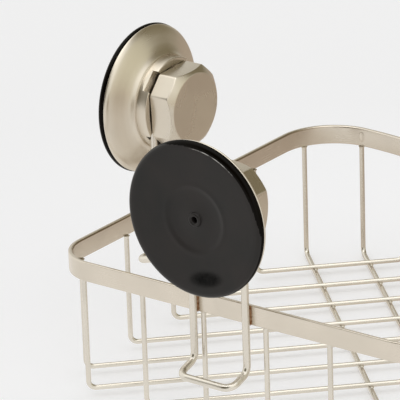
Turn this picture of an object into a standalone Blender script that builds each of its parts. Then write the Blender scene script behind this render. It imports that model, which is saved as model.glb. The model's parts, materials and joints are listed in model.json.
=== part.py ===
"""Corner shower caddy: a wire basket on a flat-strip rim, held by two screw-down suction cups.

Frame: +Z up, the room is towards -Y and the wall corner towards +Y. The caddy is symmetric
about the plane x = 0, which halves the corner. z = 0 is the surface that the basket stands on.
Plan positions are worked out as (u, v): u from the sharp wall corner along the bisector, v
across it. The two cups are built once in their own frame, whose Z runs from the wall into the
room, X along the wall and Y up.
"""
from math import acos, asin, cos, pi, radians, sin, sqrt, tan

import bmesh
import bpy
from mathutils import Matrix, Vector

# --- fit between pieces -----------------------------------------------------------------
GAP = 0.0003

# --- rim strip --------------------------------------------------------------------------
STRIP_THICK = 0.0020
STRIP_HEIGHT = 0.0090
CORNER_R = 0.0200          # outer radius at the wall corner
SIDE_R = 0.0280            # outer radius at the two far corners
FRONT_R = 0.1800           # outer radius of the bowed front edge
FRONT_CENTRE_U = 0.0340    # centre of the front edge's arc, on the bisector

# --- basket wires -----------------------------------------------------------------------
WIRE_D = 0.0023
WIRE_BEND_R = 0.0034
FLOOR_WIRES = 10
FLOOR_WIRE_PITCH = 0.0230
FLOOR_WIRE_SHIFT = 0.0009  # the whole set sits this far towards +X
WIRE_INSET = 0.0018        # outer face of the strip to the axis of the wires welded under it
CROSS_WIRE_U = (0.1354, 0.1622)
BASKET_DEPTH = 0.0520      # underside of the strip to the floor wires' centres

# --- bracket: one closed loop of thicker wire per cup -----------------------------------
BRACKET_WIRE_R = 0.00165
BRACKET_HALF = 0.01375     # half the distance between its legs
BRACKET_BEND_R = 0.0045
LEG_BELOW_STRIP = 0.0213
FOOT_DROP = 0.0035
FOOT_REACH = 0.0118

# --- suction cup, distances along its axis measured from the wall plane -------------------
CUP_ALONG_WALL = 0.0930    # cup's axis to the sharp wall corner
CUP_ABOVE_STRIP = 0.0500   # cup's axis above the strip's underside
CUP_R = 0.0344
CUP_LIP_INNER_R = 0.0295
CUP_LIP_OUTER_R = 0.0321
CUP_BEVEL = 0.0012
CUP_EDGE = 0.0029
CUP_DISH = 0.0014
PLATE_R = 0.0085
PLATE_AT = 0.0063
PLATE_THICK = 0.0013
STUD_R = 0.0030
STUD_FLAT = 0.0023
STUD_END = 0.0245
DOME_R = 0.0340
DOME_BASE = 0.0032
DOME_WALL = 0.0016
WEB_UNDER = 0.0110
WEB_TOP = 0.0138
HUB_R = 0.0090
HUB_TOP = 0.0166
COLLAR_R = 0.0212
COLLAR_INNER_R = 0.0177
COLLAR_BASE = 0.0118
COLLAR_TOP = 0.0175
NOTCH_FLOOR = 0.0135
NOTCH_HALF_ANGLE = radians(14.5)
WASHER_R = 0.0086
WASHER_THICK = 0.0006

# --- knob: a square with its corners cut to narrow facets, and a coned face -----------------
KNOB_R = 0.0200            # axis to the edges of the narrow facets
KNOB_FLAT = 0.0175         # axis to the wide flats
KNOB_BASE = 0.0178
KNOB_SHOULDER = 0.0271     # where the cone leaves KNOB_R
KNOB_END = 0.0298
KNOB_FACE_R = 0.0162
KNOB_POCKET_R = 0.0148
KNOB_POCKET_END = 0.0263
KNOB_BOSS_R = 0.0088
NUT_HEX_R = 0.0054
NUT_HEIGHT = 0.0046
STUD_WELL_R = 0.0038
STUD_WELL_END = 0.0279
KNOB_TURN = {"left": radians(5.0), "right": radians(2.5)}

# --- how finely round shapes are cut --------------------------------------------------------
CUP_SEGMENTS = 36
WIRE_SIDES = 8
BEND_STEPS = 5

# --- derived --------------------------------------------------------------------------------
WIRE_R = WIRE_D / 2
CROSS_WIRE_Z = WIRE_R
FLOOR_WIRE_Z = CROSS_WIRE_Z + WIRE_D + GAP
STRIP_Z0 = FLOOR_WIRE_Z + BASKET_DEPTH
STRIP_Z1 = STRIP_Z0 + STRIP_HEIGHT
CUP_Z = STRIP_Z0 + CUP_ABOVE_STRIP
ROOT2 = sqrt(2)
CORNER_CENTRE_U = CORNER_R * ROOT2
BACK_U = CORNER_CENTRE_U - CORNER_R
FRONT_U = FRONT_CENTRE_U + FRONT_R
MIDDLE_U = (BACK_U + FRONT_U) / 2
# the far corner's arc touches the wall leg and the inside of the front arc
FRONT_CENTRE_W = FRONT_CENTRE_U / ROOT2
SIDE_CENTRE_W = FRONT_CENTRE_W + sqrt((FRONT_R - SIDE_R) ** 2 - (SIDE_R - FRONT_CENTRE_W) ** 2)
SIDE_CENTRE_U = (SIDE_CENTRE_W + SIDE_R) / ROOT2
SIDE_CENTRE_V = (SIDE_CENTRE_W - SIDE_R) / ROOT2
FRONT_HALF_ANGLE = asin(SIDE_CENTRE_V / (FRONT_R - SIDE_R))
# the bracket's legs stand just outside the strip, which sets how far the wall is from the rim
BRACKET_AT = (WEB_TOP + 0.0004) + BRACKET_WIRE_R
WALL_OFFSET = BRACKET_AT + GAP + BRACKET_WIRE_R


def clear_scene():
    """Remove every object that the file opened with."""
    for obj in list(bpy.data.objects):
        bpy.data.objects.remove(obj, do_unlink=True)


def make_material(name, colour, metallic, roughness):
    """A plain Principled material."""
    mat = bpy.data.materials.new(name)
    mat.use_nodes = True
    shader = mat.node_tree.nodes["Principled BSDF"]
    shader.inputs["Base Color"].default_value = (*colour, 1.0)
    shader.inputs["Metallic"].default_value = metallic
    shader.inputs["Roughness"].default_value = roughness
    return mat


def add_object(name, bm, mat, parent=None, turn=0.0, sharp=35.0):
    """Turn a bmesh into a named object, with its faces out and round faces smooth."""
    bmesh.ops.recalc_face_normals(bm, faces=bm.faces)
    if bm.calc_volume(signed=True) < 0:
        bmesh.ops.reverse_faces(bm, faces=bm.faces)
    mesh = bpy.data.meshes.new(name)
    bm.to_mesh(mesh)
    bm.free()
    mesh.shade_smooth()
    mesh.set_sharp_from_angle(angle=radians(sharp))
    obj = bpy.data.objects.new(name, mesh)
    bpy.context.scene.collection.objects.link(obj)
    if mat:
        obj.data.materials.append(mat)
    obj.parent = parent
    obj.rotation_euler = (0.0, 0.0, turn)
    return obj


def add_cutter(target, name, bm, operation="DIFFERENCE"):
    """Cut the target with a hidden body that shares its frame."""
    cutter = add_object(name, bm, None, parent=target.parent, turn=target.rotation_euler.z)
    cutter.hide_render = True
    cutter.display_type = "WIRE"
    cut = target.modifiers.new(name, "BOOLEAN")
    cut.operation = operation
    cut.solver = "EXACT"
    cut.object = cutter


def plan(u, v, z):
    """A point of the basket: u along the bisector from the corner, v across it."""
    return Vector((v, MIDDLE_U - u, z))


def arc(centre, radius, start, end, steps):
    """Points (u, v) along an arc, with both ends; angles run from +u towards +v."""
    angles = [start + (end - start) * k / steps for k in range(steps + 1)]
    return [(centre[0] + radius * cos(a), centre[1] + radius * sin(a)) for a in angles]


def rim_outline(inset):
    """The rim's closed outline in (u, v), moved inwards from its outer face."""
    half = arc((FRONT_CENTRE_U, 0.0), FRONT_R - inset, 0.0, FRONT_HALF_ANGLE, 10)
    half += arc((SIDE_CENTRE_U, SIDE_CENTRE_V), SIDE_R - inset, FRONT_HALF_ANGLE, radians(135), 8)[1:]
    half += arc((CORNER_CENTRE_U, 0.0), CORNER_R - inset, radians(135), pi, 5)
    mirrored = [(u, -v) for u, v in reversed(half[1:-1])]
    return half + mirrored


def rim_u(v, inset, front):
    """Where the rim, inset from its outer face, crosses the line at v, at its front or back."""
    if front:
        return FRONT_CENTRE_U + sqrt((FRONT_R - inset) ** 2 - v * v)
    if abs(v) < CORNER_R / ROOT2:
        return CORNER_CENTRE_U - sqrt((CORNER_R - inset) ** 2 - v * v)
    return abs(v) + inset * ROOT2


def rim_v(u, inset):
    """Half the rim's width at u, inset from its outer face, at the far corners."""
    tangent_u = FRONT_CENTRE_U + FRONT_R * cos(FRONT_HALF_ANGLE)
    if u > tangent_u:
        return sqrt((FRONT_R - inset) ** 2 - (u - FRONT_CENTRE_U) ** 2)
    return SIDE_CENTRE_V + sqrt((SIDE_R - inset) ** 2 - (u - SIDE_CENTRE_U) ** 2)


def rounded_path(points, radius, steps):
    """A polyline whose inner corners are arcs of the given radius."""
    path = [points[0]]
    for i, point in enumerate(points[1:-1], start=1):
        back = (points[i - 1] - point).normalized()
        ahead = (points[i + 1] - point).normalized()
        half_turn = (pi - back.angle(ahead)) / 2
        centre = point + (back + ahead).normalized() * radius / cos(half_turn)
        first = point + back * radius * tan(half_turn) - centre
        last = point + ahead * radius * tan(half_turn) - centre
        axis = first.cross(last).normalized()
        for k in range(steps + 1):
            path.append(centre + Matrix.Rotation(2 * half_turn * k / steps, 3, axis) @ first)
    path.append(points[-1])
    return path


def tube(path, radius, side, closed=False):
    """A wire along a path, with flat ends unless it is closed.

    Its section is a regular polygon as wide across the flats as the wire is thick, with flats
    that face along side and across it.
    """
    bm = bmesh.new()
    count = len(path)
    corner_r = radius / cos(pi / WIRE_SIDES)
    rings = []
    for i, point in enumerate(path):
        tangent = Vector((0.0, 0.0, 0.0))
        if closed or i > 0:
            tangent += (point - path[i - 1]).normalized()
        if closed or i < count - 1:
            tangent += (path[(i + 1) % count] - point).normalized()
        tangent.normalize()
        side = (side - tangent * side.dot(tangent)).normalized()
        up = tangent.cross(side)
        ring = []
        for k in range(WIRE_SIDES):
            angle = 2 * pi * (k + 0.5) / WIRE_SIDES
            ring.append(bm.verts.new(point + (side * cos(angle) + up * sin(angle)) * corner_r))
        rings.append(ring)
    pairs = list(zip(rings, rings[1:]))
    if closed:
        pairs.append((rings[-1], rings[0]))
    for near, far in pairs:
        for k in range(WIRE_SIDES):
            m = (k + 1) % WIRE_SIDES
            bm.faces.new((near[k], near[m], far[m], far[k]))
    if not closed:
        bm.faces.new(rings[0])
        bm.faces.new(rings[-1])
    return bm


def lathe(profile, segments=CUP_SEGMENTS):
    """Revolve a closed (radius, z) profile about Z; points on the axis are shared."""
    bm = bmesh.new()
    columns = []
    for radius, z in profile:
        if radius < 1e-9:
            columns.append([bm.verts.new((0.0, 0.0, z))] * segments)
            continue
        angles = [2 * pi * k / segments for k in range(segments)]
        columns.append([bm.verts.new((radius * cos(a), radius * sin(a), z)) for a in angles])
    for near, far in zip(columns, columns[1:] + columns[:1]):
        if near[0] is near[1] and far[0] is far[1]:
            continue
        for k in range(segments):
            m = (k + 1) % segments
            corners = []
            for vert in (near[k], near[m], far[m], far[k]):
                if vert not in corners:
                    corners.append(vert)
            bm.faces.new(corners)
    return bm


def prism(outline, z0, z1):
    """Extrude a closed (x, y) outline between two heights."""
    bm = bmesh.new()
    low = [bm.verts.new((x, y, z0)) for x, y in outline]
    high = [bm.verts.new((x, y, z1)) for x, y in outline]
    bm.faces.new(low)
    bm.faces.new(high)
    for k in range(len(outline)):
        m = (k + 1) % len(outline)
        bm.faces.new((low[k], low[m], high[m], high[k]))
    return bm


def polygon(radius, count, start=0.0):
    """A regular outline with corners on a circle."""
    angles = [start + 2 * pi * k / count for k in range(count)]
    return [(radius * cos(a), radius * sin(a)) for a in angles]


def double_d(radius, flat):
    """A round outline with two opposite flats, facing up and down."""
    cut = asin(flat / radius)
    right = [(-cut + 2 * cut * k / 6) for k in range(7)]
    angles = right + [a + pi for a in right]
    return [(radius * cos(a), radius * sin(a)) for a in angles]


def knob_outline():
    """Four wide flats and four narrow facets."""
    half_wide = acos(KNOB_FLAT / KNOB_R)
    outline = []
    for quarter in range(4):
        middle = quarter * pi / 2
        outline += [middle - half_wide, middle + half_wide]
    return [(KNOB_R * cos(a), KNOB_R * sin(a)) for a in outline]


def build_rim(mat):
    """The flat strip on edge that runs round the top of the basket."""
    bm = bmesh.new()
    rings = []
    for (u0, v0), (u1, v1) in zip(rim_outline(0.0), rim_outline(STRIP_THICK)):
        corners = (plan(u0, v0, STRIP_Z0), plan(u0, v0, STRIP_Z1),
                   plan(u1, v1, STRIP_Z1), plan(u1, v1, STRIP_Z0))
        rings.append([bm.verts.new(corner) for corner in corners])
    for near, far in zip(rings, rings[1:] + rings[:1]):
        for k in range(4):
            m = (k + 1) % 4
            bm.faces.new((near[k], near[m], far[m], far[k]))
    add_object("rim_band", bm, mat, sharp=50.0)


def build_basket_wires(mat):
    """Wires along the bisector that turn up to the rim at both ends, and cross wires under them."""
    top = STRIP_Z0 - GAP
    for number in range(FLOOR_WIRES):
        v = FLOOR_WIRE_SHIFT + (number - (FLOOR_WIRES - 1) / 2) * FLOOR_WIRE_PITCH
        back = rim_u(v, WIRE_INSET, front=False)
        front = rim_u(v, WIRE_INSET, front=True)
        corners = [plan(back, v, top), plan(back, v, FLOOR_WIRE_Z),
                   plan(front, v, FLOOR_WIRE_Z), plan(front, v, top)]
        bm = tube(rounded_path(corners, WIRE_BEND_R, BEND_STEPS), WIRE_R, Vector((1.0, 0.0, 0.0)))
        add_object(f"floor_wire_{number + 1:02d}", bm, mat)
    for name, u in zip(("back", "front"), CROSS_WIRE_U):
        v = rim_v(u, WIRE_INSET)
        corners = [plan(u, -v, top), plan(u, -v, CROSS_WIRE_Z),
                   plan(u, v, CROSS_WIRE_Z), plan(u, v, top)]
        bm = tube(rounded_path(corners, WIRE_BEND_R, BEND_STEPS), WIRE_R, Vector((0.0, 1.0, 0.0)))
        add_object(f"cross_wire_{name}", bm, mat)


def cup_frame(side):
    """An empty on a cup's axis: X along the wall, Y up, Z from the wall into the room."""
    sign = {"left": -1.0, "right": 1.0}[side]
    to_wall = Vector((sign, 1.0, 0.0)).normalized()
    along = Vector((0.0, 0.0, 1.0)).cross(-to_wall)
    down_wall = Vector((sign, -1.0, 0.0)).normalized()
    corner = plan(0.0, 0.0, CUP_Z)
    origin = corner + down_wall * CUP_ALONG_WALL + to_wall * WALL_OFFSET
    empty = bpy.data.objects.new(f"cup_axis_{side}", None)
    bpy.context.scene.collection.objects.link(empty)
    turn = Matrix((along, Vector((0.0, 0.0, 1.0)), -to_wall)).transposed().to_4x4()
    empty.matrix_world = Matrix.Translation(origin) @ turn
    return empty


def build_bracket(side, frame, mat):
    """A closed wire loop: an arch round the hub, two legs on the rim, a foot against the wall."""
    foot_y = STRIP_Z0 - LEG_BELOW_STRIP - CUP_Z
    foot_at = BRACKET_AT - FOOT_REACH
    legs = [Vector((-BRACKET_HALF, 0.0, BRACKET_AT)),
            Vector((-BRACKET_HALF, foot_y, BRACKET_AT)),
            Vector((-BRACKET_HALF, foot_y - FOOT_DROP, foot_at)),
            Vector((BRACKET_HALF, foot_y - FOOT_DROP, foot_at)),
            Vector((BRACKET_HALF, foot_y, BRACKET_AT)),
            Vector((BRACKET_HALF, 0.0, BRACKET_AT))]
    path = rounded_path(legs, BRACKET_BEND_R, BEND_STEPS)
    for k in range(1, 12):
        angle = pi * k / 12
        path.append(Vector((BRACKET_HALF * cos(angle), BRACKET_HALF * sin(angle), BRACKET_AT)))
    bm = tube(path, BRACKET_WIRE_R, Vector((0.0, 0.0, 1.0)), closed=True)
    add_object(f"bracket_{side}", bm, mat, parent=frame)


def build_rubber_cup(side, frame, mat):
    """The suction disc: a flat lip, a shallow dish and a socket for the stud's plate."""
    socket_r = PLATE_R + GAP
    floor = PLATE_AT - GAP
    profile = [(0.0, CUP_DISH), (0.0140, CUP_DISH - 0.0001), (0.0150, CUP_DISH - 0.0005),
               (CUP_LIP_INNER_R, 0.0), (CUP_LIP_OUTER_R, 0.0), (CUP_R, CUP_BEVEL),
               (CUP_R, CUP_EDGE), (0.0304, CUP_EDGE), (0.0280, 0.0040), (0.0170, 0.0062),
               (socket_r + 0.0010, 0.0076), (socket_r, 0.0076), (socket_r, floor), (0.0, floor)]
    add_object(f"rubber_cup_{side}", lathe(profile), mat, parent=frame)


def build_stud(side, frame, mat):
    """The draw stud: a plate held by the rubber, and a threaded shank with two flats."""
    stud = add_object(f"stud_{side}", lathe([(0.0, PLATE_AT), (PLATE_R, PLATE_AT),
                                             (PLATE_R, PLATE_AT + PLATE_THICK),
                                             (0.0, PLATE_AT + PLATE_THICK)]), mat, parent=frame)
    shank = prism(double_d(STUD_R, STUD_FLAT), PLATE_AT + PLATE_THICK / 2, STUD_END)
    add_cutter(stud, f"shank_{side}", shank, "UNION")


def build_housing(side, frame, mat):
    """The bell that covers the rubber, with a notched collar for the bracket and a hub."""
    outer = [(DOME_R, DOME_BASE), (DOME_R - 0.0002, 0.0041), (0.0328, 0.0053), (0.0307, 0.0066),
             (0.0280, 0.0079), (0.0255, 0.0091), (0.0234, 0.0104), (0.0220, 0.0117),
             (COLLAR_R, COLLAR_BASE), (COLLAR_R, COLLAR_TOP), (COLLAR_INNER_R, COLLAR_TOP),
             (COLLAR_INNER_R, WEB_TOP), (HUB_R, WEB_TOP), (HUB_R, HUB_TOP), (0.0, HUB_TOP)]
    inner = [(0.0, WEB_UNDER), (0.0195, WEB_UNDER), (0.0222, 0.0092), (0.0250, 0.0077),
             (0.0285, 0.0061), (0.0311, 0.0046), (DOME_R - DOME_WALL, DOME_BASE)]
    housing = add_object(f"housing_{side}", lathe(outer + inner), mat, parent=frame)
    bore = double_d(STUD_R + GAP, STUD_FLAT + GAP)
    add_cutter(housing, f"bore_{side}", prism(bore, WEB_UNDER - 0.001, HUB_TOP + 0.001))
    half_width = COLLAR_R * sin(NOTCH_HALF_ANGLE)
    for number in range(4):
        slot = prism([(0.0155, -half_width), (COLLAR_R + 0.002, -half_width),
                      (COLLAR_R + 0.002, half_width), (0.0155, half_width)],
                     NOTCH_FLOOR, COLLAR_TOP + 0.001)
        angle = radians(45 + 90 * number)
        bmesh.ops.rotate(slot, verts=slot.verts, matrix=Matrix.Rotation(angle, 3, "Z"))
        add_cutter(housing, f"notch_{side}_{number + 1}", slot)


def build_washer(side, frame, mat):
    """The slip washer between the hub and the knob's boss."""
    low = HUB_TOP + GAP
    bore = STUD_R + 2 * GAP
    profile = [(bore, low), (WASHER_R, low), (WASHER_R, low + WASHER_THICK),
               (bore, low + WASHER_THICK)]
    add_object(f"washer_{side}", lathe(profile, 24), mat, parent=frame)


def build_knob(side, frame, mat):
    """The knob: coned outside, hollow inside, with a boss for its nut."""
    turn = KNOB_TURN[side]
    knob = add_object(f"knob_{side}", prism(knob_outline(), KNOB_BASE, KNOB_END + 0.001), mat,
                      parent=frame, turn=turn)
    margin = 0.002
    slope = (KNOB_END - KNOB_SHOULDER) / (KNOB_R - KNOB_FACE_R)
    wide = KNOB_R + margin
    cone = lathe([(0.0, KNOB_BASE - margin), (wide, KNOB_BASE - margin),
                  (wide, KNOB_SHOULDER - margin * slope), (KNOB_FACE_R, KNOB_END),
                  (0.0, KNOB_END)], 48)
    add_cutter(knob, f"cone_{side}", cone, "INTERSECT")
    pocket = lathe([(KNOB_BOSS_R, KNOB_BASE - 0.001), (KNOB_POCKET_R, KNOB_BASE - 0.001),
                    (KNOB_POCKET_R, KNOB_POCKET_END), (KNOB_BOSS_R, KNOB_POCKET_END)])
    add_cutter(knob, f"pocket_{side}", pocket)
    hexagon = polygon(NUT_HEX_R + GAP, 6)
    socket_end = KNOB_BASE + GAP + NUT_HEIGHT + GAP
    add_cutter(knob, f"socket_{side}", prism(hexagon, KNOB_BASE - 0.001, socket_end))
    well = prism(polygon(STUD_WELL_R, 20), socket_end - 0.001, STUD_WELL_END)
    add_cutter(knob, f"well_{side}", well)


def build_nut(side, frame, mat):
    """The hexagonal nut pressed into the knob's boss."""
    low = KNOB_BASE + GAP
    nut = add_object(f"knob_nut_{side}", prism(polygon(NUT_HEX_R, 6), low, low + NUT_HEIGHT), mat,
                     parent=frame, turn=KNOB_TURN[side])
    bore = prism(polygon(STUD_R + GAP, 20), low - 0.001, low + NUT_HEIGHT + 0.001)
    add_cutter(nut, f"nut_bore_{side}", bore)


def main():
    clear_scene()
    steel = make_material("satin_nickel_wire", (0.60, 0.56, 0.50), 1.0, 0.32)
    strip = make_material("brushed_nickel_strip", (0.62, 0.58, 0.52), 1.0, 0.35)
    plated = make_material("satin_nickel_plating", (0.55, 0.50, 0.43), 1.0, 0.30)
    rubber = make_material("black_rubber", (0.020, 0.019, 0.018), 0.0, 0.45)
    bright = make_material("zinc_plated_steel", (0.62, 0.62, 0.60), 1.0, 0.35)
    brass = make_material("brass", (0.72, 0.53, 0.24), 1.0, 0.35)
    nylon = make_material("white_nylon", (0.82, 0.81, 0.78), 0.0, 0.50)
    build_rim(strip)
    build_basket_wires(steel)
    for side in ("left", "right"):
        frame = cup_frame(side)
        build_bracket(side, frame, steel)
        build_rubber_cup(side, frame, rubber)
        build_stud(side, frame, bright)
        build_housing(side, frame, plated)
        build_washer(side, frame, nylon)
        build_knob(side, frame, plated)
        build_nut(side, frame, brass)


main()
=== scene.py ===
"""Looks for the corner shower caddy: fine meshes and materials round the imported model."""
import json
from math import acos, asin, atan2, cos, exp, pi, radians, sin, sqrt, tan

import bmesh
import bpy
from mathutils import Matrix, Vector, noise


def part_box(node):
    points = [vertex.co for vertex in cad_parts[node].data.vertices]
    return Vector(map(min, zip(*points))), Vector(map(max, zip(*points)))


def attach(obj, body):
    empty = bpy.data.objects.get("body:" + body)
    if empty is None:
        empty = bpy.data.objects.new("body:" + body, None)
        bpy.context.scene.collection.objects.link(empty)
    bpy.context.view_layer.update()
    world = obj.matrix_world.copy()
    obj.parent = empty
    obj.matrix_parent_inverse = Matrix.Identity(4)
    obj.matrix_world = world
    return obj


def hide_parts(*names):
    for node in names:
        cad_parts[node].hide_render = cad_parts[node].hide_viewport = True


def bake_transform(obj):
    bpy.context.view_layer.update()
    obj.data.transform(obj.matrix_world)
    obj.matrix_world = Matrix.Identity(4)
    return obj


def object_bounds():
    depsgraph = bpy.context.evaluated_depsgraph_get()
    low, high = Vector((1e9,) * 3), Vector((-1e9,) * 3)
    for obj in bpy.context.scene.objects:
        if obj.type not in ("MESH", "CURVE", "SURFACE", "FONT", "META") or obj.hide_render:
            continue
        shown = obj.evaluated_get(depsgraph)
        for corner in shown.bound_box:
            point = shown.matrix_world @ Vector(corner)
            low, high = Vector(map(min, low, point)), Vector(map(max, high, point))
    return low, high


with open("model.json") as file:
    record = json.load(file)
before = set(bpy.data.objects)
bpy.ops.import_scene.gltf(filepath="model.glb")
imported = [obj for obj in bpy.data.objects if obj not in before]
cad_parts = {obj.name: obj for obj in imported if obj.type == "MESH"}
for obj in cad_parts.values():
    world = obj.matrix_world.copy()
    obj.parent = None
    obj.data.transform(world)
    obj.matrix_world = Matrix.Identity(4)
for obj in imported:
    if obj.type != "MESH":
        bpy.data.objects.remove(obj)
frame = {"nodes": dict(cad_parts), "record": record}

cad_low, cad_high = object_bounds()
ROOT2 = sqrt(2)

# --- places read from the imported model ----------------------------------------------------
RIM_LOW, RIM_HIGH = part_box("rim_band")
STRIP_Z0, STRIP_Z1 = RIM_LOW.z, RIM_HIGH.z
FLOOR_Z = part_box("cross_wire_back")[0].z
WIRE_R = (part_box("cross_wire_back")[1].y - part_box("cross_wire_back")[0].y) / 2
MOUNTS = {m["name"]: m for m in frame["record"]["mounts"]}

# --- the shape that the frame's solids follow, in metres --------------------------------------
STRIP_THICK = 0.0020
CORNER_R = 0.0200
SIDE_R = 0.0280
FRONT_R = 0.1800
FRONT_CENTRE_U = 0.0340
WIRE_GAP = 0.0003
WIRE_BEND_R = 0.0034
FLOOR_WIRES = 10
FLOOR_WIRE_PITCH = 0.0230
FLOOR_WIRE_SHIFT = 0.0009
WIRE_INSET = 0.0018
CROSS_WIRE_U = {"back": 0.1354, "front": 0.1622}
BRACKET_WIRE_R = 0.00165
BRACKET_HALF = 0.01375
BRACKET_BEND_R = 0.0045
BRACKET_AT = 0.01585
LEG_BELOW_STRIP = 0.0213
FOOT_DROP = 0.0035
FOOT_REACH = 0.0118
MOUNT_ABOVE_AXIS = 0.0308
CUP_R = 0.0344
KNOB_R = 0.0200
KNOB_FLAT = 0.0175
KNOB_BASE = 0.0178
KNOB_SHOULDER = 0.0271
KNOB_END = 0.0298
KNOB_FACE_R = 0.0162
KNOB_TURN = {"left": radians(5.0), "right": radians(2.5)}
COLLAR_R = 0.0212
COLLAR_INNER_R = 0.0177
COLLAR_TOP = 0.0175
WEB_TOP = 0.0138
NOTCH_FLOOR = 0.0135
NOTCH_WELL = 0.0118
NOTCH_SILL_R = 0.0201
NOTCH_HALF_ANGLE = radians(14.5)
KNOB_BORE_R = 0.0148
FLARE_REACH = 0.0011
FLARE_SWELL = 0.34
GRAIN_ROUND = 0.12
LIP_TOP = 0.0029
DISC_TOP = 0.0062
BAND_FROM = 0.0319

WIRE_Z = {"cross": FLOOR_Z + WIRE_R, "floor": FLOOR_Z + 3 * WIRE_R + WIRE_GAP}
CORNER_CENTRE_U = CORNER_R * ROOT2
MIDDLE_U = RIM_HIGH.y + CORNER_CENTRE_U - CORNER_R
FRONT_CENTRE_W = FRONT_CENTRE_U / ROOT2
SIDE_CENTRE_W = FRONT_CENTRE_W + sqrt((FRONT_R - SIDE_R) ** 2 - (SIDE_R - FRONT_CENTRE_W) ** 2)
SIDE_CENTRE_U = (SIDE_CENTRE_W + SIDE_R) / ROOT2
SIDE_CENTRE_V = (SIDE_CENTRE_W - SIDE_R) / ROOT2
FRONT_HALF_ANGLE = asin(SIDE_CENTRE_V / (FRONT_R - SIDE_R))


# --- mesh helpers -----------------------------------------------------------------------------
def plan(u, v, z):
    """A point of the basket: u along the bisector from the corner, v across it."""
    return Vector((v, MIDDLE_U - u, z))


def new_object(name, bm, mat, place=None, sharp=35.0):
    """Turn a bmesh into an object with outward faces, smooth apart from sharp edges."""
    bmesh.ops.recalc_face_normals(bm, faces=bm.faces)
    if bm.calc_volume(signed=True) < 0:
        bmesh.ops.reverse_faces(bm, faces=bm.faces)
    mesh = bpy.data.meshes.new(name)
    bm.to_mesh(mesh)
    bm.free()
    if place is not None:
        mesh.transform(place)
    mesh.shade_smooth()
    mesh.set_sharp_from_angle(angle=radians(sharp))
    obj = bpy.data.objects.new(name, mesh)
    bpy.context.scene.collection.objects.link(obj)
    if mat:
        mesh.materials.append(mat)
    return obj


def skin(rings, along, across, closed=False):
    """Join rings of points into one closed surface, with a grain map in metres."""
    bm = bmesh.new()
    grain = bm.loops.layers.uv.new("grain")
    columns = [[bm.verts.new(p) for p in ring] for ring in rings]
    size = len(rings[0])
    count = len(rings)
    spans = count if closed else count - 1
    for i in range(spans):
        j = (i + 1) % count
        for k in range(size):
            m = (k + 1) % size
            face = bm.faces.new((columns[i][k], columns[i][m], columns[j][m], columns[j][k]))
            marks = ((along[i], across[k]), (along[i], across[k + 1]),
                     (along[i + 1], across[k + 1]), (along[i + 1], across[k]))
            for loop, mark in zip(face.loops, marks):
                loop[grain].uv = mark
    if not closed:
        bm.faces.new(columns[0])
        bm.faces.new(columns[-1])
    return bm


def lengths(points, closed=False):
    """Running length at each point, with the closing one if the line is closed."""
    out = [0.0]
    ends = points[1:] + (points[:1] if closed else [])
    for a, b in zip(points, ends):
        out.append(out[-1] + (b - a).length)
    return out


def rounded_path(points, radius, steps):
    """A polyline whose inner corners are arcs of the given radius."""
    path = [points[0]]
    for i, point in enumerate(points[1:-1], start=1):
        back = (points[i - 1] - point).normalized()
        ahead = (points[i + 1] - point).normalized()
        half_turn = (pi - back.angle(ahead)) / 2
        centre = point + (back + ahead).normalized() * radius / cos(half_turn)
        first = point + back * radius * tan(half_turn) - centre
        last = point + ahead * radius * tan(half_turn) - centre
        axis = first.cross(last).normalized()
        for k in range(steps + 1):
            path.append(centre + Matrix.Rotation(2 * half_turn * k / steps, 3, axis) @ first)
    path.append(points[-1])
    return path


def subdivided(points, longest, closed=False):
    """The same line with no stretch longer than the given length."""
    out = []
    ends = points[1:] + (points[:1] if closed else [])
    for a, b in zip(points, ends):
        parts = max(1, int((b - a).length / longest + 0.999))
        out += [a.lerp(b, k / parts) for k in range(parts)]
    if not closed:
        out.append(points[-1])
    return out


def tube(path, radius_at, side, sides=20, closed=False):
    """A round wire along a path; radius_at(i) gives its radius at each point."""
    rings = []
    count = len(path)
    for i, point in enumerate(path):
        tangent = Vector((0.0, 0.0, 0.0))
        if closed or i > 0:
            tangent += (point - path[i - 1]).normalized()
        if closed or i < count - 1:
            tangent += (path[(i + 1) % count] - point).normalized()
        tangent.normalize()
        side = (side - tangent * side.dot(tangent)).normalized()
        up = tangent.cross(side)
        radius = radius_at(i)
        turns = [2 * pi * k / sides for k in range(sides)]
        rings.append([point + side * (radius * cos(a)) + up * (radius * sin(a)) for a in turns])
    across = [2 * pi * WIRE_R * k / sides for k in range(sides + 1)]
    return skin(rings, lengths(path, closed), across, closed)


def mark_vertices(obj, name, values):
    """Write one number per vertex, for a material to read."""
    layer = obj.data.attributes.new(name, "FLOAT", "POINT")
    layer.data.foreach_set("value", values)


# --- the rim ----------------------------------------------------------------------------------
def arc_stations(centre_u, centre_v, radius, start, end, steps, skip_first=False):
    """Points of the rim's outer face along an arc, each with its inward direction."""
    out = []
    for k in range(1 if skip_first else 0, steps + 1):
        a = start + (end - start) * k / steps
        out.append((centre_u + radius * cos(a), centre_v + radius * sin(a), -cos(a), -sin(a)))
    return out


def rim_stations():
    """Stations round the whole rim: half of it, and its mirror image."""
    half = arc_stations(FRONT_CENTRE_U, 0.0, FRONT_R, 0.0, FRONT_HALF_ANGLE, 48)
    half += arc_stations(SIDE_CENTRE_U, SIDE_CENTRE_V, SIDE_R, FRONT_HALF_ANGLE, radians(135), 40,
                         skip_first=True)
    u0, v0, nu, nv = half[-1]
    corner = arc_stations(CORNER_CENTRE_U, 0.0, CORNER_R, radians(135), pi, 18)
    u1, v1 = corner[0][:2]
    for k in range(1, 40):
        t = k / 40
        half.append((u0 + (u1 - u0) * t, v0 + (v1 - v0) * t, nu, nv))
    half += corner
    mirrored = [(u, -v, nu, -nv) for u, v, nu, nv in reversed(half[1:-1])]
    return half + mirrored


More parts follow.
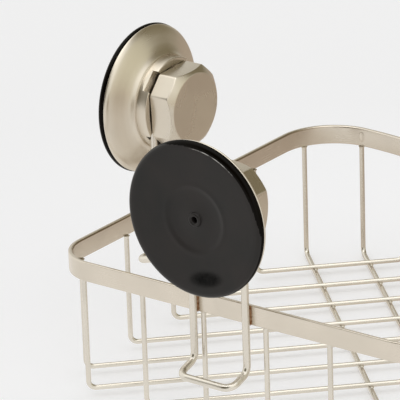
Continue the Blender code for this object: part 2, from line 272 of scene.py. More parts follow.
def rounded_section(width, height, radii, steps):
    """A rectangle from (0, 0) with rounded corners, as (across, up) points."""
    out = []
    for number, radius in enumerate(radii):
        cx = width - radius if number in (1, 2) else radius
        cy = height - radius if number in (2, 3) else radius
        for k in range(steps + 1):
            a = pi + 0.5 * pi * (number + k / steps)
            out.append((cx + radius * cos(a), cy + radius * sin(a)))
    return out


def build_rim(mat):
    """The flat strip with rolled edges, its inner top edge darkened with painted shade along the
    right wall.
    """
    steps = 6
    radii = (0.0005, 0.0005, 0.0008, 0.0005)
    section = rounded_section(STRIP_THICK, STRIP_Z1 - STRIP_Z0, radii, steps)
    stations = rim_stations()
    rings = []
    for u, v, nu, nv in stations:
        rings.append([plan(u + nu * inset, v + nv * inset, STRIP_Z0 + up) for inset, up in section])
    middle = [ring[0] for ring in rings]
    around = lengths([Vector((x, y, 0.0)) for x, y in section], closed=True)
    bm = skin(rings, lengths(middle, closed=True), around, closed=True)
    strip = new_object("rim_strip", bm, mat, sharp=60.0)
    # Painted shade: the inner top rounding gets a dark line where it faces the right wall.
    edge_shade_weights = (1.0, 0.9, 0.3)
    before = 2 * (steps + 1) + 1
    after = len(section) - before - len(edge_shade_weights)
    shade = []
    for _, _, nu, nv in stations:
        facing = max(0.0, min(1.0, 2.2 * (nu - nv) / ROOT2 - 1.0))
        shade += [0.0] * before + [facing * mark for mark in edge_shade_weights] + [0.0] * after
    mark_vertices(strip, "painted_edge_shade", shade)
    return strip


def rim_u(v, inset, front):
    """Where the rim, inset from its outer face, crosses the line at v, at its front or back."""
    if front:
        return FRONT_CENTRE_U + sqrt((FRONT_R - inset) ** 2 - v * v)
    if abs(v) < CORNER_R / ROOT2:
        return CORNER_CENTRE_U - sqrt((CORNER_R - inset) ** 2 - v * v)
    return abs(v) + inset * ROOT2


def rim_v(u, inset):
    """Half the rim's width at u, inset from its outer face, at the far corners."""
    tangent_u = FRONT_CENTRE_U + FRONT_R * cos(FRONT_HALF_ANGLE)
    if u > tangent_u:
        return sqrt((FRONT_R - inset) ** 2 - (u - FRONT_CENTRE_U) ** 2)
    return SIDE_CENTRE_V + sqrt((SIDE_R - inset) ** 2 - (u - SIDE_CENTRE_U) ** 2)


# --- basket wires -------------------------------------------------------------------------------
def end_flare(path, radius):
    """Wire radius along the path, swelling into a weld fillet at both ends."""
    run = lengths(path)
    total = run[-1]

    def radius_at(i):
        near_end = min(run[i], total - run[i])
        swell = max(0.0, 1.0 - near_end / FLARE_REACH)
        return radius * (1.0 + FLARE_SWELL * swell * swell)
    return radius_at


def basket_wire(name, node, corners, side, mat):
    """A wire turned up at both ends, with a weld fillet against the strip's underside."""
    path = rounded_path(corners, WIRE_BEND_R, 14)
    ends = []
    for end, inner in ((path[0], path[1]), (path[-1], path[-2])):
        down = (inner - end).normalized()
        ends.append([end + down * d for d in (0.0, 0.0003, 0.0006, 0.0009, 0.0012)])
    path = ends[0] + path[1:-1] + ends[1][::-1]
    path = subdivided(path, 0.008)
    bm = tube(path, end_flare(path, WIRE_R), side)
    wire = new_object(name, bm, mat)
    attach(wire, "caddy")
    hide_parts(node)


def floor_wire_v(number):
    """How far a floor wire lies from the middle."""
    return FLOOR_WIRE_SHIFT + (number - (FLOOR_WIRES - 1) / 2) * FLOOR_WIRE_PITCH


def build_wires(mat):
    """Floor wires and the cross wires below them."""
    top = STRIP_Z0 + 0.00005
    for number in range(FLOOR_WIRES):
        v = floor_wire_v(number)
        back = rim_u(v, WIRE_INSET, front=False)
        front = rim_u(v, WIRE_INSET, front=True)
        corners = [plan(back, v, top), plan(back, v, WIRE_Z["floor"]),
                   plan(front, v, WIRE_Z["floor"]), plan(front, v, top)]
        basket_wire(f"floor_rod_{number + 1:02d}", f"floor_wire_{number + 1:02d}", corners,
                    Vector((1.0, 0.0, 0.0)), mat)
    for name, u in CROSS_WIRE_U.items():
        v = rim_v(u, WIRE_INSET)
        corners = [plan(u, -v, top), plan(u, -v, WIRE_Z["cross"]),
                   plan(u, v, WIRE_Z["cross"]), plan(u, v, top)]
        basket_wire(f"cross_rod_{name}", f"cross_wire_{name}", corners,
                    Vector((0.0, 1.0, 0.0)), mat)


def blob(bm, centre, axes, seed, rough=0.12, rings=8, segments=14):
    """A small lumpy ellipsoid of weld metal, added to a bmesh."""
    grain = bm.loops.layers.uv.verify()
    ax, ay, az = axes
    rows = []
    for i in range(rings + 1):
        polar = pi * i / rings
        row = []
        for k in range(segments):
            if i in (0, rings) and k:
                row.append(row[0])
                continue
            a = 2 * pi * k / segments
            d = Vector((sin(polar) * cos(a), sin(polar) * sin(a), cos(polar)))
            swell = 1.0 + rough * noise.noise(d * 2.1 + Vector((seed, seed * 1.7, 0.0)))
            row.append(bm.verts.new(centre + (ax * d.x + ay * d.y + az * d.z) * swell))
        rows.append(row)
    for upper, lower in zip(rows, rows[1:]):
        for k in range(segments):
            m = (k + 1) % segments
            corners = []
            for vert in (upper[k], upper[m], lower[m], lower[k]):
                if vert not in corners:
                    corners.append(vert)
            face = bm.faces.new(corners)
            for loop in face.loops:
                loop[grain].uv = (loop.vert.co.x, loop.vert.co.z)


def build_weld_nuggets(mat):
    """Fused spots where each floor wire crosses the two cross wires."""
    bm = bmesh.new()
    z = (WIRE_Z["cross"] + WIRE_Z["floor"]) / 2
    seed = 0.0
    for number in range(FLOOR_WIRES):
        v = floor_wire_v(number)
        for u in CROSS_WIRE_U.values():
            seed += 3.1
            blob(bm, plan(u, v, z), (Vector((0.00125, 0, 0)), Vector((0, 0.00125, 0)),
                                     Vector((0, 0, 0.00062))), seed)
    obj = new_object("weld_nuggets", bm, mat, sharp=80.0)
    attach(obj, "caddy")


def build_spot_welds(mat):
    """Pressed ovals on the strip's inner face, above the ends of the front cross wire."""
    bm = bmesh.new()
    height = STRIP_Z0 + 0.0048
    here = CROSS_WIRE_U["front"]
    ahead = here + 0.0005
    for side in (1.0, -1.0):
        centre = plan(here, side * rim_v(here, STRIP_THICK), height)
        run = (plan(ahead, side * rim_v(ahead, STRIP_THICK), height) - centre).normalized()
        blob(bm, centre, (run * 0.0016, run.cross(Vector((0, 0, 1))) * 0.00022,
                          Vector((0, 0, 0.0026))), 5.0 + side, rough=0.05, rings=10, segments=24)
    obj = new_object("spot_welds", bm, mat, sharp=80.0)
    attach(obj, "caddy")


# --- cups ---------------------------------------------------------------------------------------
def cup_matrix(side):
    """A cup's own frame: X along the wall, Y up, Z from the wall into the room."""
    mount = MOUNTS[f"wall_face_{side}"]
    to_wall = Vector(mount["axis"]).normalized()
    up = Vector((0.0, 0.0, 1.0))
    along = up.cross(-to_wall)
    origin = Vector(mount["pos_m"]) - up * MOUNT_ABOVE_AXIS
    return Matrix.Translation(origin) @ Matrix((along, up, -to_wall)).transposed().to_4x4()


def fillet(profile, radii, steps=4):
    """A closed (radius, height) line with the corners rounded by the radii given by index."""
    out = []
    count = len(profile)
    for i, (r, z) in enumerate(profile):
        size = radii.get(i, 0.0)
        point = Vector((r, z))
        back = Vector(profile[i - 1]) - point
        ahead = Vector(profile[(i + 1) % count]) - point
        if not size or back.length < 1e-9 or ahead.length < 1e-9:
            out.append((r, z))
            continue
        half_turn = (pi - back.angle(ahead)) / 2
        cut = min(size * tan(half_turn), 0.45 * back.length, 0.45 * ahead.length)
        start = point + back.normalized() * cut
        end = point + ahead.normalized() * cut
        for k in range(steps + 1):
            t = k / steps
            q = start * (1 - t) ** 2 + point * (2 * t * (1 - t)) + end * t ** 2
            out.append((max(q.x, 0.0), q.y))
    return out


def smooth_line(points, steps=6):
    """A smooth curve through points (Catmull-Rom), for a moulded profile."""
    out = []
    count = len(points)
    for i in range(count - 1):
        p0 = Vector(points[max(i - 1, 0)])
        p1 = Vector(points[i])
        p2 = Vector(points[i + 1])
        p3 = Vector(points[min(i + 2, count - 1)])
        for k in range(steps):
            t = k / steps
            q = 0.5 * ((2 * p1) + (p2 - p0) * t + (2 * p0 - 5 * p1 + 4 * p2 - p3) * t * t
                       + (3 * p1 - p0 - 3 * p2 + p3) * t ** 3)
            out.append((q.x, q.y))
    out.append(tuple(points[-1]))
    return out


def lathe(profile, segments, radius_of=None):
    """Revolve a closed (radius, z) profile about Z, with a grain map that runs round the axis."""
    bm = bmesh.new()
    grain = bm.loops.layers.uv.new("grain")
    columns = []
    for row, (radius, z) in enumerate(profile):
        if radius < 1e-7:
            columns.append([bm.verts.new((0.0, 0.0, z))] * segments)
            continue
        ring = []
        for k in range(segments):
            a = 2 * pi * k / segments
            r, h = radius_of(row, a) if radius_of else (radius, z)
            ring.append(bm.verts.new((r * cos(a), r * sin(a), h)))
        columns.append(ring)
    run = lengths([Vector((r, z, 0.0)) for r, z in profile], closed=True)
    count = len(profile)
    for i in range(count):
        near, far = columns[i], columns[(i + 1) % count]
        if near[0] is near[1] and far[0] is far[1]:
            continue
        for k in range(segments):
            m = (k + 1) % segments
            corners, marks = [], []
            for vert, mark in ((near[k], (k, run[i])), (near[m], (k + 1, run[i])),
                               (far[m], (k + 1, run[i + 1])), (far[k], (k, run[i + 1]))):
                if vert not in corners:
                    corners.append(vert)
                    marks.append((mark[0] / segments * GRAIN_ROUND, mark[1]))
            face = bm.faces.new(corners)
            for loop, mark in zip(face.loops, marks):
                loop[grain].uv = mark
    return bm


def apply_modifiers(obj):
    """Replace an object's mesh by its evaluated mesh."""
    graph = bpy.context.evaluated_depsgraph_get()
    mesh = bpy.data.meshes.new_from_object(obj.evaluated_get(graph))
    obj.modifiers.clear()
    obj.data = mesh
    return obj


def cut_slots(obj, cutters):
    """Cut boxes out of an object for good."""
    for cutter in cutters:
        cut = obj.modifiers.new("cut", "BOOLEAN")
        cut.operation = "DIFFERENCE"
        cut.solver = "EXACT"
        cut.object = cutter
    apply_modifiers(obj)
    for cutter in cutters:
        bpy.data.objects.remove(cutter, do_unlink=True)


def slot_box(angle, half_width, inner, outer, fall, high):
    """A box across the collar at one angle, for a notch whose floor falls outwards."""
    bm = bmesh.new()
    corners = []
    for low_in, low_out in (fall, (high, high)):
        for x, y, z in ((inner, -half_width, low_in), (outer, -half_width, low_out),
                        (outer, half_width, low_out), (inner, half_width, low_in)):
            corners.append(bm.verts.new(Matrix.Rotation(angle, 3, "Z") @ Vector((x, y, z))))
    for k in range(4):
        m = (k + 1) % 4
        bm.faces.new((corners[k], corners[m], corners[4 + m], corners[4 + k]))
    bm.faces.new(corners[:4])
    bm.faces.new(corners[4:])
    return new_object("slot_cutter", bm, None)


def build_housing(side, place, mat):
    """The plated bell, its collar with four notches, and the hub."""
    dome = smooth_line([(0.0340, 0.0036), (0.03385, 0.0041), (0.0328, 0.0053), (0.0307, 0.0066),
                        (0.0280, 0.0079), (0.0255, 0.0091), (0.0234, 0.0104), (0.0221, 0.0117)], 7)
    rim = [(0.0330, 0.0032), (0.0337, 0.00325)]
    groove = [(0.0217, 0.0119), (0.0213, 0.01175)]
    collar = [(COLLAR_R, 0.0119), (COLLAR_R, COLLAR_TOP), (COLLAR_INNER_R, COLLAR_TOP),
              (COLLAR_INNER_R, WEB_TOP), (0.0090, WEB_TOP), (0.0090, 0.0166), (0.0033, 0.0166),
              (0.0033, 0.0110)]
    collar = fillet(collar, {1: 0.00055, 2: 0.00045, 4: 0.0003, 5: 0.0004}, 4)
    inside = [(0.0195, 0.0110), (0.0222, 0.0092), (0.0250, 0.0077), (0.0285, 0.0061),
              (0.0311, 0.0046), (0.0324, 0.0032)]
    housing = new_object(f"bell_{side}", lathe(rim + dome + groove + collar + inside, 144), mat)
    half_width = COLLAR_R * sin(NOTCH_HALF_ANGLE)
    well_from = 0.0155
    high = COLLAR_TOP + 0.001
    cutters = []
    for number in range(4):
        angle = radians(45 + 90 * number)
        cutters.append(slot_box(angle, half_width, well_from, NOTCH_SILL_R + 0.0001,
                                (NOTCH_WELL, NOTCH_WELL), high))
        cutters.append(slot_box(angle, half_width, NOTCH_SILL_R, COLLAR_R + 0.002,
                                (NOTCH_FLOOR + 0.0011, NOTCH_FLOOR - 0.0023), high))
    cut_slots(housing, cutters)
    housing.data.transform(place)
    housing.data.shade_smooth()
    housing.data.set_sharp_from_angle(angle=radians(32))
    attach(housing, "caddy")
    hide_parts(f"housing_{side}")


def knob_radius(angle, softness=0.0005):
    """Distance from the axis to the knob's side: wide flats and narrow facets, edges rounded."""
    facet = KNOB_R * cos(pi / 4 - acos(KNOB_FLAT / KNOB_R))
    best = None
    for number in range(8):
        distance = KNOB_FLAT if number % 2 == 0 else facet
        swing = cos(angle - number * pi / 4)
        if swing < 0.2:
            continue
        reach = distance / swing
        if best is None:
            best = reach
            continue
        close = max(softness - abs(best - reach), 0.0) / softness
        best = min(best, reach) - close * close * softness / 4
    return best


def build_knob(side, place, mat):
    """The faceted knob: flats, coned end with a soft edge, and a hollow underside."""
    slope = (KNOB_END - KNOB_SHOULDER) / (KNOB_R - KNOB_FACE_R)
    inner = [(KNOB_BORE_R, KNOB_BASE), (KNOB_BORE_R, 0.0263), (0.0088, 0.0263),
             (0.0088, KNOB_BASE), (0.0060, KNOB_BASE), (0.0060, 0.0230), (0.0038, 0.0230),
             (0.0038, 0.0279), (0.0, 0.0279)]

    def outer(angle):
        reach = knob_radius(angle)
        meet = KNOB_SHOULDER + (KNOB_R - reach) * slope
        edge = fillet([(KNOB_BORE_R, KNOB_BASE), (reach, KNOB_BASE), (reach, meet),
                       (KNOB_FACE_R, KNOB_END), (0.0, KNOB_END)],
                      {1: 0.0004, 2: 0.0007, 3: 0.0012}, 6)[1:-1]
        face = [(KNOB_FACE_R * t, KNOB_END) for t in (0.8, 0.6, 0.4, 0.2)]
        return edge + face + [(0.0, KNOB_END)]

    sample = outer(0.0)
    profile = sample + inner[::-1]
    table = {}

    def radius_of(row, angle):
        if row >= len(sample):
            return profile[row]
        key = round(angle, 6)
        if key not in table:
            table[key] = outer(angle)
        return table[key][row]

    bm = lathe(profile, 360, radius_of)
    turn = Matrix.Rotation(KNOB_TURN[side], 4, "Z")
    knob = new_object(f"grip_{side}", bm, mat, place @ turn, sharp=40.0)
    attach(knob, f"knob_{side}")
    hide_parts(f"knob_{side}")


def build_rubber(side, place, mat, band):
    """The suction disc, with a moulded ring, a centre nub and a soft outer edge; its outer band
    gets painted shade, widest at the upper right.
    """
    wall_side = [(0.0, 0.0034), (0.0010, 0.0034), (0.0013, 0.0010), (0.0016, 0.0006),
                 (0.0019, 0.0004), (0.0025, 0.0004), (0.0029, 0.0006), (0.0031, 0.0011),
                 (0.0033, 0.0015), (0.0038, 0.0016), (0.0090, 0.0015), (0.0122, 0.00145),
                 (0.0136, 0.0012), (0.0145, 0.00090), (0.0152, 0.00078), (0.0160, 0.00082)]
    lip = smooth_line([(0.0170, 0.00080), (0.0210, 0.00055), (0.0260, 0.00025), (0.0295, 0.00005),
                       (0.0305, 0.0), (0.0315, 0.0)], 4)
    edge = [(0.0318, 0.0), (0.0320, 0.00001), (0.0322, 0.00004), (0.0325, 0.00009),
            (0.0328, 0.00016), (0.0331, 0.00026), (0.0334, 0.00042), (0.0337, 0.00066),
            (0.0340, 0.0010), (0.03428, 0.0015), (CUP_R, 0.0020), (0.03432, 0.0025),
            (0.0341, LIP_TOP)]
    room_side = [(0.0304, LIP_TOP), (0.0280, 0.0040), (0.0170, DISC_TOP), (0.0098, 0.0076),
                 (0.0088, 0.0076), (0.0088, 0.0060), (0.0, 0.0060)]
    bm = lathe(wall_side + lip + edge + room_side, 180)
    smudge, ridge_highlight = [], []
    for vert in bm.verts:
        reach = Vector((vert.co.x, vert.co.y)).length
        turn = atan2(vert.co.y, -vert.co.x)
        # A darker smudge without specular, near the bottom of the left disc's face.
        along, over = vert.co.x + 0.0055, vert.co.y + 0.0252
        blot = (along / 0.0080) ** 2 + ((over + 0.17 * along) / 0.0034) ** 2
        smudge.append(exp(-blot ** 3) if side == "left" else 0.0)
        # Painted highlight: the crease ring is lit up on its upper right arc only.
        ridge = 1.0 if 0.03170 < reach < 0.03190 and vert.co.z < 0.0005 else 0.0
        ridge_highlight.append(ridge * max(0.0, 1.0 - ((turn - 1.22) / 0.38) ** 4))
    disc = new_object(f"disc_{side}", bm, mat, place, sharp=50.0)
    mark_vertices(disc, "dark_smudge", smudge)
    mark_vertices(disc, "painted_ridge_highlight", ridge_highlight)
    disc.data.materials.append(band)
    # Painted shade: faces of the outer band take the darker, duller rubber, from BAND_FROM at the
    # upper right and only near the very edge elsewhere.
    back_to_cup = place.inverted()
    for face in disc.data.polygons:
        at = back_to_cup @ face.center
        sector = atan2(at.y, -at.x) - 1.0
        shade_from = BAND_FROM + 0.0020 * min(1.0, sector ** 4)
        face.material_index = 1 if Vector((at.x, at.y)).length > shade_from else 0
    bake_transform(disc)
    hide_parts(f"rubber_cup_{side}")


def build_bracket(side, place, mat, weld):
    """The closed loop of heavier wire, and the weld beads that fix its legs to the strip."""
    foot_y = STRIP_Z0 - LEG_BELOW_STRIP - place.translation.z
    foot_at = BRACKET_AT - FOOT_REACH
    legs = [Vector((-BRACKET_HALF, 0.0, BRACKET_AT)),
            Vector((-BRACKET_HALF, foot_y, BRACKET_AT)),
            Vector((-BRACKET_HALF, foot_y - FOOT_DROP, foot_at)),
            Vector((BRACKET_HALF, foot_y - FOOT_DROP, foot_at)),
            Vector((BRACKET_HALF, foot_y, BRACKET_AT)),
            Vector((BRACKET_HALF, 0.0, BRACKET_AT))]
    path = rounded_path(legs, BRACKET_BEND_R, 12)
    for k in range(1, 36):
        a = pi * k / 36
        path.append(Vector((BRACKET_HALF * cos(a), BRACKET_HALF * sin(a), BRACKET_AT)))
    path = subdivided(path, 0.006, closed=True)
    bm = tube(path, lambda i: BRACKET_WIRE_R, Vector((0.0, 0.0, 1.0)), 24, closed=True)
    loop = new_object(f"hanger_{side}", bm, mat, place)
    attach(loop, "caddy")
    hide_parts(f"bracket_{side}")
    beads = bmesh.new()
    middle = (STRIP_Z0 + STRIP_Z1) / 2 - place.translation.z
    face_at = BRACKET_AT + BRACKET_WIRE_R
    for number, x in enumerate((-BRACKET_HALF, BRACKET_HALF)):
        for hand in (-1.0, 1.0):
            for step in range(11):
                y = middle + (step - 5) * 0.00078
                wander = 0.00016 * noise.noise(Vector((number * 7.0 + hand, step * 0.9, 0.0)))
                centre = Vector((x + hand * (0.00122 + wander), y, face_at + 0.00006))
                blob(beads, centre, (Vector((0.00034, 0, 0)), Vector((0, 0.00062, 0)),
                                     Vector((0, 0, 0.00050))), number * 5 + hand + step * 2.3,
                     rough=0.4, rings=6, segments=10)
    seam = new_object(f"hanger_welds_{side}", beads, weld, place, sharp=80.0)
    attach(seam, "caddy")


# --- materials ----------------------------------------------------------------------------------
def nodes_of(name):
    """A new material, its node tree's node and link makers, and its shader."""
    mat = bpy.data.materials.new(name)
    mat.use_nodes = True
    tree = mat.node_tree
    return mat, tree.nodes, tree.links, tree.nodes["Principled BSDF"]


def grain_noise(nodes, links, scale, detail, stretch):
    """Noise stretched along the grain map."""
    uv = nodes.new("ShaderNodeUVMap")
    uv.uv_map = "grain"
    mapping = nodes.new("ShaderNodeMapping")
    mapping.inputs["Scale"].default_value = (stretch[0], stretch[1], 1.0)
    tex = nodes.new("ShaderNodeTexNoise")
    tex.inputs["Scale"].default_value = scale
    tex.inputs["Detail"].default_value = detail
    links.new(uv.outputs["UV"], mapping.inputs["Vector"])
    links.new(mapping.outputs["Vector"], tex.inputs["Vector"])
    return tex


def object_noise(nodes, links, scale, detail):
    """Noise in the object's own space."""
    coord = nodes.new("ShaderNodeTexCoord")
    tex = nodes.new("ShaderNodeTexNoise")
    tex.inputs["Scale"].default_value = scale
    tex.inputs["Detail"].default_value = detail
    links.new(coord.outputs["Object"], tex.inputs["Vector"])
    return tex


def ranged(nodes, links, source, low, high, start=0.3, end=0.7):
    """Map a noise output to a range."""
    span = nodes.new("ShaderNodeMapRange")
    span.inputs["From Min"].default_value = start
    span.inputs["From Max"].default_value = end
    span.inputs["To Min"].default_value = low
    span.inputs["To Max"].default_value = high
    links.new(source, span.inputs["Value"])
    return span.outputs["Result"]


def ramp(nodes, links, source, stops):
    """Colours along a noise output."""
    node = nodes.new("ShaderNodeValToRGB")
    bar = node.color_ramp
    bar.elements[0].position, bar.elements[0].color = stops[0][0], (*stops[0][1], 1.0)
    bar.elements[1].position, bar.elements[1].color = stops[-1][0], (*stops[-1][1], 1.0)
    for position, colour in stops[1:-1]:
        bar.elements.new(position).color = (*colour, 1.0)
    links.new(source, node.inputs["Fac"])
    return node.outputs["Color"]


def combined(nodes, links, operation, first, second):
    """Two number sockets put together by a math node."""
    node = nodes.new("ShaderNodeMath")
    node.operation = operation
    links.new(first, node.inputs[0])
    links.new(second, node.inputs[1])
    return node.outputs[0]


def bump(nodes, links, source, strength, distance, normal=None):
    """A bump node, on top of another if given."""
    node = nodes.new("ShaderNodeBump")
    node.inputs["Strength"].default_value = strength
    node.inputs["Distance"].default_value = distance
    links.new(source, node.inputs["Height"])
    if normal:
        links.new(normal, node.inputs["Normal"])
    return node.outputs["Normal"]


def satin_metal(name, tone, rough, brush, brush_scale, brush_depth, edge=None):
    """Brushed or satin nickel: fine marks along the grain, slow changes of tone and polish, and
    painted shade on an edge that an attribute marks.
    """
    mat, nodes, links, shader = nodes_of(name)
    marks = grain_noise(nodes, links, brush_scale, 3.0, brush)
    slow = object_noise(nodes, links, 38.0, 3.0)
    dark = tuple(c * 0.93 for c in tone)
    light = tuple(min(1.0, c * 1.05) for c in tone)
    colour = ramp(nodes, links, slow.outputs["Fac"], ((0.32, dark), (0.5, tone), (0.68, light)))
    # The marked edge is blended towards dark brown: painted shade.
    if edge:
        colour = blended(nodes, links, attribute(nodes, edge), colour, (0.24, 0.17, 0.11))
    links.new(colour, shader.inputs["Base Color"])
    shader.inputs["Metallic"].default_value = 1.0
    coarse = ranged(nodes, links, slow.outputs["Fac"], rough - 0.03, rough + 0.04)
    streak = 2000.0 * brush_depth
    fine = ranged(nodes, links, marks.outputs["Fac"], -streak, streak)
    links.new(combined(nodes, links, "ADD", coarse, fine), shader.inputs["Roughness"])
    links.new(bump(nodes, links, marks.outputs["Fac"], 0.30, brush_depth), shader.inputs["Normal"])
    return mat


def weld_metal():
    """Weld metal: bluish brown heat tint over rough bright steel."""
    mat, nodes, links, shader = nodes_of("weld_heat_tint")
    tex = object_noise(nodes, links, 900.0, 4.0)
    tints = ((0.30, (0.16, 0.07, 0.03)), (0.5, (0.34, 0.18, 0.09)), (0.7, (0.55, 0.42, 0.30)))
    colour = ramp(nodes, links, tex.outputs["Fac"], tints)
    links.new(colour, shader.inputs["Base Color"])
    shader.inputs["Metallic"].default_value = 1.0
    links.new(ranged(nodes, links, tex.outputs["Fac"], 0.32, 0.6), shader.inputs["Roughness"])
    links.new(bump(nodes, links, tex.outputs["Fac"], 0.5, 0.0001), shader.inputs["Normal"])
    return mat


def attribute(nodes, name):
    """A per-vertex mark written by the mesh builder."""
    node = nodes.new("ShaderNodeAttribute")
    node.attribute_name = name
    return node.outputs["Fac"]


def blended(nodes, links, weight, low, high):
    """Mix two colours, each given as a socket or as numbers, by a weight."""
    mix = nodes.new("ShaderNodeMixRGB")
    links.new(weight, mix.inputs["Fac"])
    for source, name in ((low, "Color1"), (high, "Color2")):
        if isinstance(source, tuple):
            mix.inputs[name].default_value = (*source, 1.0)
        else:
            links.new(source, mix.inputs[name])
    return mix.outputs["Color"]


def black_rubber(name, dark, light, rough, gloss):
    """Satin black rubber: a faint bloom and moulding grain, darker where a smudge is marked, and a
    painted highlight on a marked ridge.
    """
    mat, nodes, links, shader = nodes_of(name)
    slow = object_noise(nodes, links, 60.0, 4.0)
    fine = object_noise(nodes, links, 2600.0, 2.0)
    face = ramp(nodes, links, slow.outputs["Fac"], ((0.3, dark), (0.7, light)))
    patchy = object_noise(nodes, links, 700.0, 3.0)
    # The smudge darkens the colour, and its specular tint goes to black.
    smudge = combined(nodes, links, "MULTIPLY", attribute(nodes, "dark_smudge"),
                    ranged(nodes, links, patchy.outputs["Fac"], 0.75, 1.0))
    colour = blended(nodes, links, smudge, face, (0.0008, 0.0008, 0.0006))
    # The marked ridge is blended to pale grey: a painted highlight.
    ridge_glint = combined(nodes, links, "MULTIPLY", attribute(nodes, "painted_ridge_highlight"),
                     ranged(nodes, links, patchy.outputs["Fac"], 0.15, 1.0, 0.40, 0.60))
    links.new(blended(nodes, links, ridge_glint, colour, (0.62, 0.60, 0.56)),
              shader.inputs["Base Color"])
    links.new(ranged(nodes, links, slow.outputs["Fac"], rough - 0.05, rough + 0.06),
              shader.inputs["Roughness"])
    shader.inputs["Specular IOR Level"].default_value = gloss
    links.new(blended(nodes, links, smudge, (1.0, 1.0, 1.0), (0.0, 0.0, 0.0)),
              shader.inputs["Specular Tint"])
    soft = bump(nodes, links, slow.outputs["Fac"], 0.25, 0.0006)
    links.new(bump(nodes, links, fine.outputs["Fac"], 0.12, 0.00005, soft), shader.inputs["Normal"])
    return mat


def plain_grained(name, tone, metallic, rough, scale):
    """A hidden piece's finish: an even colour with a fine mottle."""
    mat, nodes, links, shader = nodes_of(name)
    tex = object_noise(nodes, links, scale, 3.0)
    dark = tuple(c * 0.85 for c in tone)
    links.new(ramp(nodes, links, tex.outputs["Fac"], ((0.3, dark), (0.7, tone))),
              shader.inputs["Base Color"])
    links.new(ranged(nodes, links, tex.outputs["Fac"], rough - 0.06, rough + 0.06),
              shader.inputs["Roughness"])
    shader.inputs["Metallic"].default_value = metallic
    return mat


def repaint(node, mat):
    """Give a CAD node that stays a better material."""
    obj = frame["nodes"][node]
    obj.data.materials.clear()
    obj.data.materials.append(mat)


# --- stage --------------------------------------------------------------------------------------
def lobe(nodes, links, direction, aim, inner, outer, under, colour):
    """Blend a colour into the surround round one direction."""
    dot = nodes.new("ShaderNodeVectorMath")
    dot.operation = "DOT_PRODUCT"
    dot.inputs[1].default_value = Vector(aim).normalized()
    links.new(direction, dot.inputs[0])
    weight = nodes.new("ShaderNodeMapRange")
    weight.interpolation_type = "SMOOTHSTEP"
    weight.inputs["From Min"].default_value = outer
    weight.inputs["From Max"].default_value = inner
    links.new(dot.outputs["Value"], weight.inputs["Value"])
    mix = nodes.new("ShaderNodeMixRGB")
    links.new(weight.outputs["Result"], mix.inputs["Fac"])
    links.new(under, mix.inputs["Color1"])
    mix.inputs["Color2"].default_value = (*colour, 1.0)
    return mix.outputs["Color"]


def build_floor():
    """A pale glowing floor; polished metal sees a warmer, darker floor on the room side."""
    bm = bmesh.new()
    bmesh.ops.create_grid(bm, x_segments=2, y_segments=2, size=14.0)
    floor = new_object("studio_floor", bm, None)
    floor.location.z = cad_low.z - 0.0002
    mat, nodes, links, shader = nodes_of("studio_floor_paint")
    tex = object_noise(nodes, links, 1.4, 2.0)
    links.new(ramp(nodes, links, tex.outputs["Fac"],
                   ((0.3, (0.815, 0.815, 0.815)), (0.7, (0.825, 0.825, 0.825)))),
              shader.inputs["Base Color"])
    shader.inputs["Roughness"].default_value = 0.85
    shader.inputs["Specular IOR Level"].default_value = 0.1
    coord = nodes.new("ShaderNodeTexCoord")
    near = nodes.new("ShaderNodeVectorMath")
    near.operation = "LENGTH"
    links.new(coord.outputs["Object"], near.inputs[0])
    # Painted light: the floor glows brighter near the caddy, which also softens its shadows.
    pale = ranged(nodes, links, near.outputs["Value"], 0.0, 1.0, 0.03, 0.35)
    greys = ((0.0, (0.245, 0.245, 0.247)), (1.0, (0.190, 0.190, 0.190)))
    links.new(ramp(nodes, links, pale, greys), shader.inputs["Emission Color"])
    shader.inputs["Emission Strength"].default_value = 1.0
    slant = nodes.new("ShaderNodeVectorMath")
    slant.operation = "DOT_PRODUCT"
    slant.inputs[1].default_value = (-0.6, 1.0, 0.0)
    links.new(coord.outputs["Object"], slant.inputs[0])
    side = ranged(nodes, links, slant.outputs["Value"], 0.0, 1.0, -0.22, 0.07)
    glow = nodes.new("ShaderNodeEmission")
    links.new(ramp(nodes, links, side, ((0.0, (0.52, 0.44, 0.36)), (0.5, (0.80, 0.74, 0.66)),
                                        (1.0, (0.99, 0.97, 0.93)))), glow.inputs["Color"])
    rays = nodes.new("ShaderNodeLightPath")
    pick = nodes.new("ShaderNodeMixShader")
    links.new(rays.outputs["Is Glossy Ray"], pick.inputs["Fac"])
    links.new(shader.outputs["BSDF"], pick.inputs[1])
    links.new(glow.outputs["Emission"], pick.inputs[2])
    links.new(pick.outputs["Shader"], nodes["Material Output"].inputs["Surface"])
    floor.data.materials.append(mat)


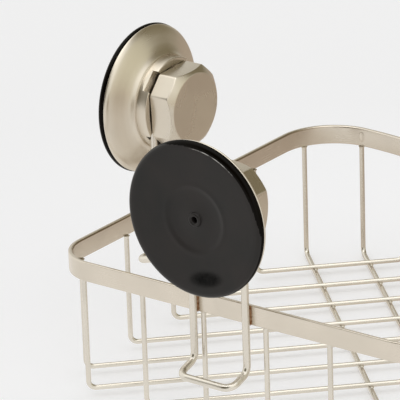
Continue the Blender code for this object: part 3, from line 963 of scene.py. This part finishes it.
def build_surround():
    """An even pale light for the floor, and a studio of soft cards for polished metal."""
    world = bpy.data.worlds.new("studio_surround")
    bpy.context.scene.world = world
    world.use_nodes = True
    nodes, links = world.node_tree.nodes, world.node_tree.links
    background = nodes["Background"]
    background.inputs["Color"].default_value = (1.0, 1.0, 1.0, 1.0)
    background.inputs["Strength"].default_value = 0.70
    coord = nodes.new("ShaderNodeTexCoord")
    direction = coord.outputs["Generated"]
    base = nodes.new("ShaderNodeRGB")
    base.outputs["Color"].default_value = (1.12, 1.11, 1.05, 1.0)
    shade = base.outputs["Color"]
    for aim, inner, outer, colour in (
            ((0.93, -0.10, 0.38), 0.985, 0.80, (0.78, 0.76, 0.70)),
            ((0.42, -0.72, 0.55), 0.93, 0.62, (0.25, 0.215, 0.135)),
            ((-0.80, -0.60, -0.04), 0.985, 0.90, (0.80, 0.74, 0.60)),
            ((-0.42, -0.88, 0.24), 0.975, 0.90, (0.82, 0.79, 0.63)),
            ((0.10, 0.20, 1.0), 0.96, 0.84, (1.55, 1.53, 1.46)),
            ((-0.69, -0.35, 0.65), 0.99, 0.955, (1.3, 1.28, 1.2)),
            ((-0.60, 0.65, 0.42), 0.90, 0.76, (0.12, 0.10, 0.06))):
        shade = lobe(nodes, links, direction, aim, inner, outer, shade, colour)
    cards = nodes.new("ShaderNodeBackground")
    links.new(shade, cards.inputs["Color"])
    rays = nodes.new("ShaderNodeLightPath")
    pick = nodes.new("ShaderNodeMixShader")
    links.new(rays.outputs["Is Glossy Ray"], pick.inputs["Fac"])
    links.new(background.outputs["Background"], pick.inputs[1])
    links.new(cards.outputs["Background"], pick.inputs[2])
    links.new(pick.outputs["Shader"], nodes["World Output"].inputs["Surface"])

    light = bpy.data.lights.new("overhead_scrim", "SUN")
    light.angle = radians(60.0)
    light.energy = 0.41
    lamp = bpy.data.objects.new("overhead_scrim", light)
    lamp.rotation_euler = Vector((0.25, -0.15, -1.0)).to_track_quat("-Z", "Y").to_euler()
    bpy.context.scene.collection.objects.link(lamp)


def build_camera():
    """The camera, at the photograph's viewing angle."""
    heading, down, roll = radians(-7.712), radians(21.308), radians(1.936)
    ahead = Vector((cos(heading) * cos(down), sin(heading) * cos(down), -sin(down)))
    right = ahead.cross(Vector((0.0, 0.0, 1.0))).normalized()
    up = right.cross(ahead)
    tilted_right = right * cos(roll) - up * sin(roll)
    tilted_up = right * sin(roll) + up * cos(roll)
    data = bpy.data.cameras.new("camera")
    data.sensor_width = 36.0
    data.lens = 310.176
    data.clip_start = 0.05
    data.clip_end = 60.0
    camera = bpy.data.objects.new("camera", data)
    bpy.context.scene.collection.objects.link(camera)
    turn = Matrix((tilted_right, tilted_up, -ahead)).transposed().to_4x4()
    camera.matrix_world = Matrix.Translation((-1.3884, 0.2322, 0.6303)) @ turn
    bpy.context.scene.camera = camera


def main():
    wire = satin_metal("nickel_wire", tone=(0.700, 0.662, 0.600), rough=0.25,
                       brush=(0.35, 9.0), brush_scale=700.0, brush_depth=0.000004)
    strip = satin_metal("nickel_strip", tone=(0.675, 0.620, 0.545), rough=0.23,
                        brush=(0.06, 6.0), brush_scale=620.0, brush_depth=0.000014,
                        edge="painted_edge_shade")
    plated = satin_metal("nickel_plating", tone=(0.675, 0.620, 0.535), rough=0.28,
                         brush=(0.10, 5.0), brush_scale=520.0, brush_depth=0.000002)
    weld = weld_metal()
    rubber = black_rubber("suction_rubber", dark=(0.0050, 0.0044, 0.0041),
                          light=(0.0135, 0.0100, 0.0090), rough=0.36, gloss=0.32)
    # Darker, duller rubber that paints shade on the disc's outer band.
    rubber_band = black_rubber("suction_rubber_shaded_band", dark=(0.0018, 0.0012, 0.0006),
                               light=(0.0034, 0.0023, 0.0011), rough=0.24, gloss=0.07)
    rim = build_rim(strip)
    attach(rim, "caddy")
    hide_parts("rim_band")
    build_wires(wire)
    build_weld_nuggets(wire)
    build_spot_welds(strip)
    steel = plain_grained("zinc_steel", (0.62, 0.62, 0.60), 1.0, 0.35, 400.0)
    brass = plain_grained("nut_brass", (0.72, 0.53, 0.24), 1.0, 0.35, 400.0)
    nylon = plain_grained("washer_nylon", (0.82, 0.81, 0.78), 0.0, 0.50, 500.0)
    for side in ("left", "right"):
        place = cup_matrix(side)
        build_bracket(side, place, wire, weld)
        build_housing(side, place, plated)
        build_knob(side, place, plated)
        build_rubber(side, place, rubber, rubber_band)
        repaint(f"stud_{side}", steel)
        repaint(f"knob_nut_{side}", brass)
        repaint(f"washer_{side}", nylon)
    build_floor()
    build_surround()
    build_camera()
    bpy.context.scene.view_settings.view_transform = "Standard"


main()
